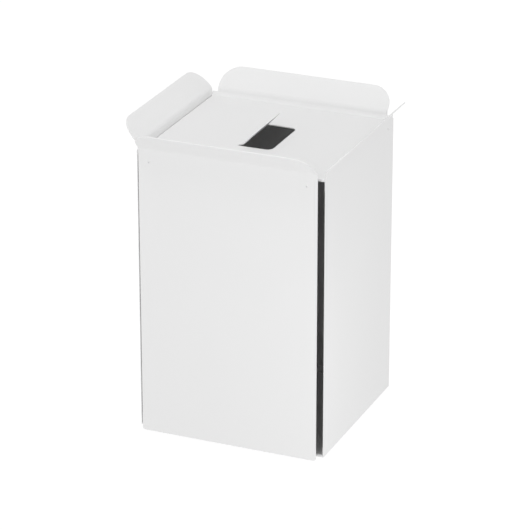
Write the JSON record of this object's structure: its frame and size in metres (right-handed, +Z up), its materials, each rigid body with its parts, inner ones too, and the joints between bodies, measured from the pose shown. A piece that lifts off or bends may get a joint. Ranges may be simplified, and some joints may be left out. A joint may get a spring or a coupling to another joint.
{
  "type": "dog waste bin",
  "caption": "White folded sheet-metal bin: side, back and front walls flare outward at the top round a sunken lid with a post slot and lifted tab; the door tips open over a wire bag frame.",
  "frame": {"origin": "on the ground under the middle of the whole bin, wings included", "axes": "+Z up, +Y towards the back wall, +X to the right when facing the door; the door faces -Y"},
  "size_m": [0.358, 0.3464, 0.4935],
  "materials": {
    "coat": "white powder coat, satin",
    "steel": "zinc-plated, satin",
    "magnet": "matt black magnet block",
    "wire": "bright drawn wire",
    "rubber": "matt black"
  },
  "bodies": {
    "cabinet": {"left_panel": "coat", "right_panel": "coat", "back_panel": "coat", "lid": "coat", "floor_tray": "coat", "side_rivet_left": "coat", "side_rivet_right": "coat", "hinge_bracket_left": "steel", "hinge_bracket_right": "steel", "hinge_pin_left": "steel", "hinge_pin_right": "steel", "bracket_rivet_left": "steel", "bracket_rivet_right": "steel", "catch_bracket_left": "steel", "catch_bracket_right": "steel", "frame_bracket_left": "steel", "frame_bracket_right": "steel", "frame_clip_left": "steel", "frame_clip_right": "steel", "foot_screw_1": "steel", "foot_screw_2": "steel", "foot_screw_3": "steel", "foot_screw_4": "steel", "catch_magnet_left": "magnet", "catch_magnet_right": "magnet", "foot_1": "rubber", "foot_2": "rubber", "foot_3": "rubber", "foot_4": "rubber"},
    "door": {"door": "coat", "door_rivet_left": "coat", "door_rivet_right": "coat", "keeper_left": "steel", "keeper_right": "steel", "hinge_leaf_left": "coat", "hinge_leaf_right": "coat"},
    "bag_frame": {"bag_frame": "wire"}
  },
  "joints": [
    {"name": "door_tip", "type": "hinge", "parent": "cabinet", "child": "door", "pos_m": [0, -0.13759, 0.01], "axis": [1, 0, 0], "range_deg": [0, 75]},
    {"name": "bag_frame_swing", "type": "hinge", "parent": "cabinet", "child": "bag_frame", "pos_m": [0, 0.12171, 0.423], "axis": [1, 0, 0], "range_deg": [0, 70]}
  ]
}
